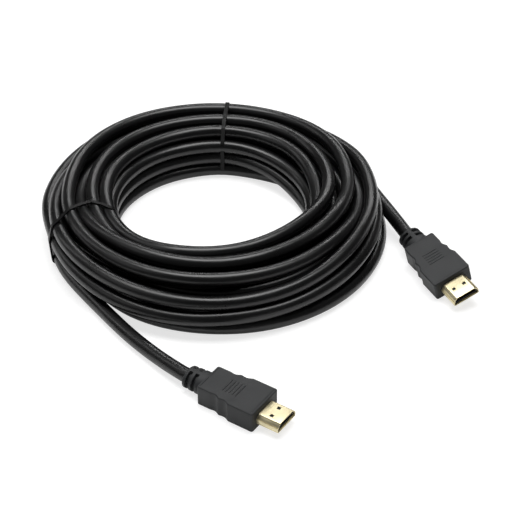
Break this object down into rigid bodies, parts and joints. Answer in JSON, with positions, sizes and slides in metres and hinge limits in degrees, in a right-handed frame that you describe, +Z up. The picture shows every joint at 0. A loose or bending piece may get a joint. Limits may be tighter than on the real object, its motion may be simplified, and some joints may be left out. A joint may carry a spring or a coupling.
{
  "type": "digital video cable",
  "caption": "Long round black video cable wound into a flat coil, held by twist ties, with a moulded rectangular metal-shelled plug on each end.",
  "frame": {"origin": "middle of the whole coiled cable's box in plan, on the surface it lies on", "axes": "+Z up out of the surface, the short side of the flat coil; +Y from the plug in front to the far side of the coil, the longest side; +X towards the plug beside the coil"},
  "size_m": [0.2134, 0.2422, 0.0272],
  "materials": {
    "cable_jacket": "black flexible PVC jacket, satin gloss with sharp highlights along each turn",
    "plug_overmould": "dark grey moulded PVC, fine matte spark-eroded texture",
    "plug_shell": "thin pale gold plating over formed sheet metal, smooth satin",
    "plug_insulator": "black moulded insulator",
    "plug_contact": "gold-flashed spring strip",
    "twist_tie": "black plastic-coated flat wire"
  },
  "bodies": {
    "root": {"cable_coil": "cable_jacket", "cable_tail_a": "cable_jacket", "cable_tail_b": "cable_jacket", "tie_back": "twist_tie", "tie_left": "twist_tie", "plug_a_overmould": "plug_overmould", "plug_a_shell": "plug_shell", "plug_a_insulator": "plug_insulator", "plug_a_contact_01": "plug_contact", "plug_a_contact_02": "plug_contact", "plug_a_contact_03": "plug_contact", "plug_a_contact_04": "plug_contact", "plug_a_contact_05": "plug_contact", "plug_a_contact_06": "plug_contact", "plug_a_contact_07": "plug_contact", "plug_a_contact_08": "plug_contact", "plug_a_contact_09": "plug_contact", "plug_a_contact_10": "plug_contact", "plug_a_contact_11": "plug_contact", "plug_a_contact_12": "plug_contact", "plug_a_contact_13": "plug_contact", "plug_a_contact_14": "plug_contact", "plug_a_contact_15": "plug_contact", "plug_a_contact_16": "plug_contact", "plug_a_contact_17": "plug_contact", "plug_a_contact_18": "plug_contact", "plug_a_contact_19": "plug_contact", "plug_b_overmould": "plug_overmould", "plug_b_shell": "plug_shell", "plug_b_insulator": "plug_insulator", "plug_b_contact_01": "plug_contact", "plug_b_contact_02": "plug_contact", "plug_b_contact_03": "plug_contact", "plug_b_contact_04": "plug_contact", "plug_b_contact_05": "plug_contact", "plug_b_contact_06": "plug_contact", "plug_b_contact_07": "plug_contact", "plug_b_contact_08": "plug_contact", "plug_b_contact_09": "plug_contact", "plug_b_contact_10": "plug_contact", "plug_b_contact_11": "plug_contact", "plug_b_contact_12": "plug_contact", "plug_b_contact_13": "plug_contact", "plug_b_contact_14": "plug_contact", "plug_b_contact_15": "plug_contact", "plug_b_contact_16": "plug_contact", "plug_b_contact_17": "plug_contact", "plug_b_contact_18": "plug_contact", "plug_b_contact_19": "plug_contact"}
  },
  "joints": []
}
